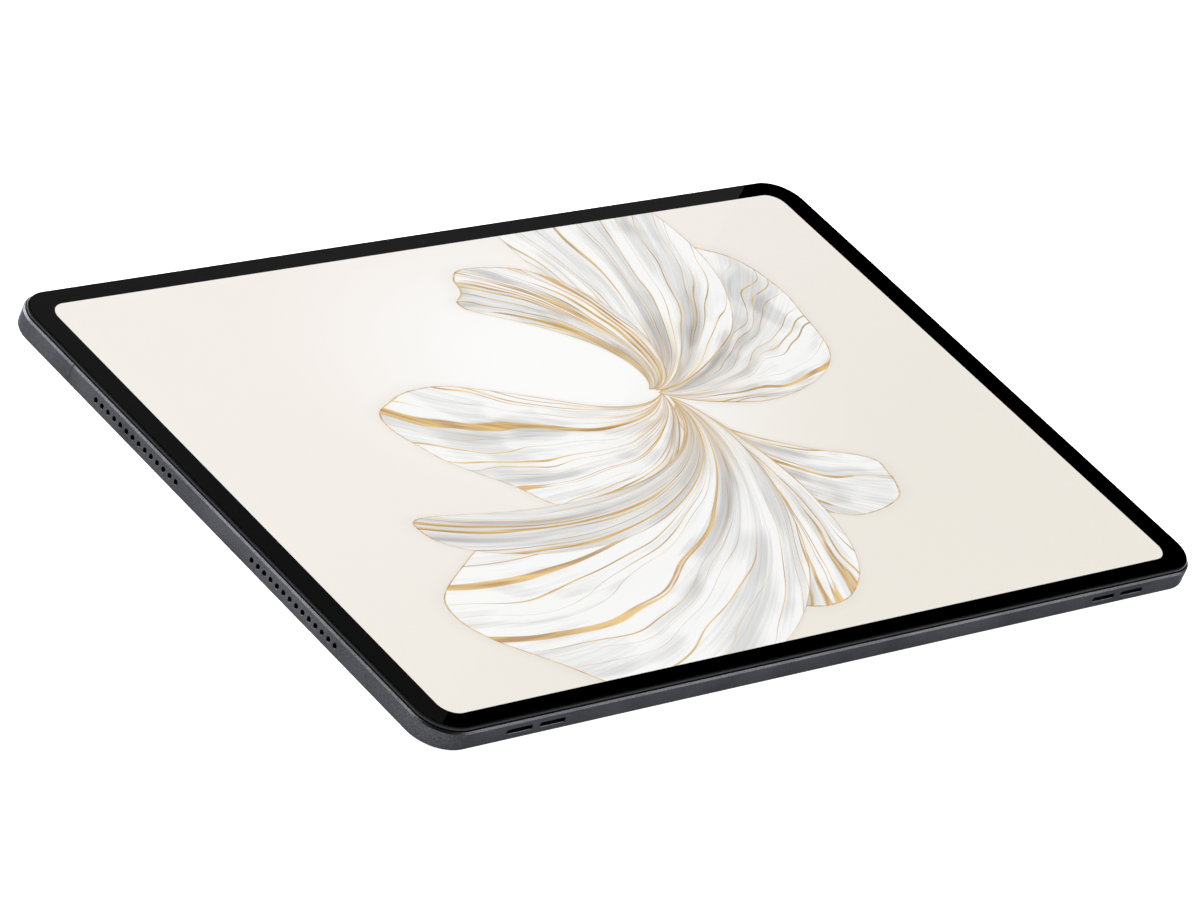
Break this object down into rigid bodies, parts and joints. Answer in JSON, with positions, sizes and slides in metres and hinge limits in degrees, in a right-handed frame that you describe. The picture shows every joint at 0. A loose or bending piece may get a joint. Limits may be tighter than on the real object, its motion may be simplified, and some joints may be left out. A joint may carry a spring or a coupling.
{
  "type": "tablet computer",
  "caption": "Slim slab tablet computer with a milled aluminium tub, a glass front with an even black border, sound openings in all four sides, a power key and a tilting volume key.",
  "frame": {"origin": "middle of the rear face, which the tablet lies on", "axes": "+X along the long side to the right as the screen is read, +Y towards the long side with the front camera, +Z out of the screen"},
  "size_m": [0.2797, 0.1789, 0.0066],
  "materials": {
    "anodised_aluminium": "fine bead-blasted, grey anodised",
    "antenna_plastic": "moulded, matt, matched to the anodising",
    "black_plastic": "moulded, matt black",
    "cover_glass": "polished, clear, eased edge",
    "border_ink": "black screen print under glass",
    "optical_film": "clear adhesive sheet",
    "display_image": "lit display with a pale abstract picture",
    "light_guide": "white films in a bright tray",
    "dust_mesh": "fine black woven mesh",
    "stamped_steel": "stamped and plated",
    "camera_lens": "coated lens in a black barrel",
    "camera_glass": "polished, coated",
    "flash_diffuser": "ribbed clear plastic",
    "circuit_board": "green solder resist",
    "flex_ribbon": "amber polyimide film",
    "graphite": "satin graphite sheet",
    "cell_pouch": "black laminated foil pouch"
  },
  "bodies": {
    "tablet": {"rear_housing": "anodised_aluminium", "rear_camera_ring": "anodised_aluminium", "antenna_insert_left": "antenna_plastic", "antenna_insert_right": "antenna_plastic", "antenna_insert_top_left": "antenna_plastic", "antenna_insert_top_right": "antenna_plastic", "mid_frame": "black_plastic", "rear_camera_module": "black_plastic", "cover_glass": "cover_glass", "border_ink": "border_ink", "display_adhesive": "optical_film", "display_panel": "display_image", "backlight_unit": "light_guide", "speaker_left_front": "black_plastic", "speaker_front_left": "black_plastic", "dust_mesh_left_front": "dust_mesh", "dust_mesh_front_left": "dust_mesh", "speaker_left_back": "black_plastic", "speaker_back_left": "black_plastic", "dust_mesh_left_back": "dust_mesh", "dust_mesh_back_left": "dust_mesh", "speaker_right_front": "black_plastic", "speaker_front_right": "black_plastic", "dust_mesh_right_front": "dust_mesh", "dust_mesh_front_right": "dust_mesh", "speaker_right_back": "black_plastic", "speaker_back_right": "black_plastic", "dust_mesh_right_back": "dust_mesh", "dust_mesh_back_right": "dust_mesh", "power_switch": "stamped_steel", "power_bracket": "stamped_steel", "volume_up_switch": "stamped_steel", "volume_down_switch": "stamped_steel", "volume_bracket": "stamped_steel", "usb_c_receptacle": "stamped_steel", "shield_can_processor": "stamped_steel", "shield_can_memory": "stamped_steel", "shield_can_radio": "stamped_steel", "microphone_left": "stamped_steel", "microphone_right": "stamped_steel", "board_screw_1": "stamped_steel", "board_screw_2": "stamped_steel", "board_screw_3": "stamped_steel", "board_screw_4": "stamped_steel", "board_screw_5": "stamped_steel", "board_screw_6": "stamped_steel", "front_camera_module": "camera_lens", "rear_camera_glass": "camera_glass", "flash_lens": "flash_diffuser", "usb_board": "circuit_board", "mainboard": "circuit_board", "display_driver_board": "circuit_board", "battery_board": "circuit_board", "link_flex": "flex_ribbon", "display_flex": "flex_ribbon", "graphite_sheet": "graphite", "battery_left": "cell_pouch", "battery_right": "cell_pouch"},
    "power_key": {"power_button": "anodised_aluminium"},
    "volume_key": {"volume_rocker": "anodised_aluminium"}
  },
  "joints": [
    {"name": "power_press", "type": "slide", "parent": "tablet", "child": "power_key", "axis": [-1, 0, 0], "range_m": [0, 0.00025], "stiffness_N_per_m": 2500},
    {"name": "volume_tilt", "type": "hinge", "parent": "tablet", "child": "volume_key", "pos_m": [0.072, 0.0869, 0.0029], "axis": [0, 0, 1], "range_deg": [-1, 1], "stiffness_Nm_per_rad": 0.8}
  ]
}
